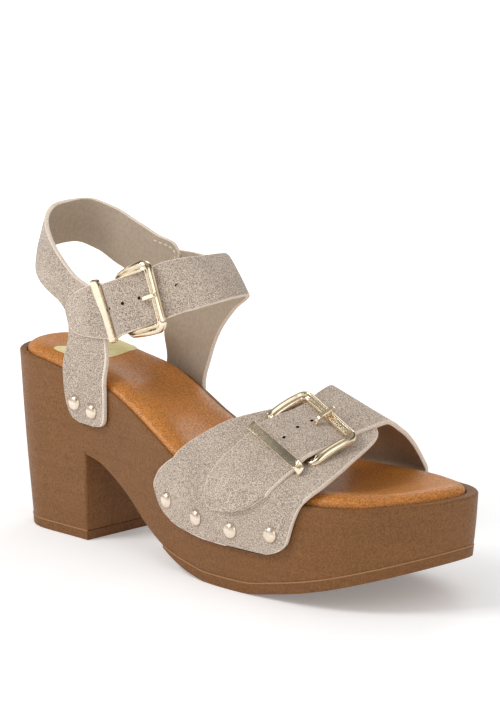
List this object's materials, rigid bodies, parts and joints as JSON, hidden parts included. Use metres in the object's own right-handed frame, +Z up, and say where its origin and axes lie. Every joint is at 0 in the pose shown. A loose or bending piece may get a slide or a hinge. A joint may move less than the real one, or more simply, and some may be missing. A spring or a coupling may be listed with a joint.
{
  "type": "clog sandal",
  "caption": "Right clog sandal: moulded platform sole with block heel, padded footbed, buckled suede vamp strap and a buckled suede ankle strap with dome studs.",
  "frame": {"origin": "centre of the shoe's outline on the floor it stands on", "axes": "+X to the toe, +Y to the medial side of the foot, +Z up"},
  "size_m": [0.2409, 0.086, 0.1439],
  "materials": {
    "moulded_sole": "matt brown moulded polyurethane with a fine pebbled grain",
    "rubber_outsole": "matt brown rubber",
    "footbed_leather": "tan burnished leather with a soft sheen",
    "suede": "light greige speckled suede, taupe lining inside",
    "pale_gold": "polished pale gold plate"
  },
  "bodies": {
    "root": {"platform_sole": "moulded_sole", "forefoot_outsole": "rubber_outsole", "heel_top_piece": "rubber_outsole", "footbed": "footbed_leather", "vamp_upper": "suede", "ankle_upper": "suede", "vamp_buckle_frame": "pale_gold", "vamp_buckle_prong": "pale_gold", "vamp_keeper": "pale_gold", "ankle_buckle_frame": "pale_gold", "ankle_buckle_prong": "pale_gold", "ankle_keeper": "pale_gold", "stud_vamp_lateral_1": "pale_gold", "stud_vamp_lateral_2": "pale_gold", "stud_vamp_lateral_3": "pale_gold", "stud_vamp_lateral_4": "pale_gold", "stud_vamp_medial_1": "pale_gold", "stud_vamp_medial_2": "pale_gold", "stud_vamp_medial_3": "pale_gold", "stud_vamp_medial_4": "pale_gold", "stud_heel_lateral_1": "pale_gold", "stud_heel_lateral_2": "pale_gold", "stud_heel_medial_1": "pale_gold", "stud_heel_medial_2": "pale_gold"}
  },
  "joints": []
}
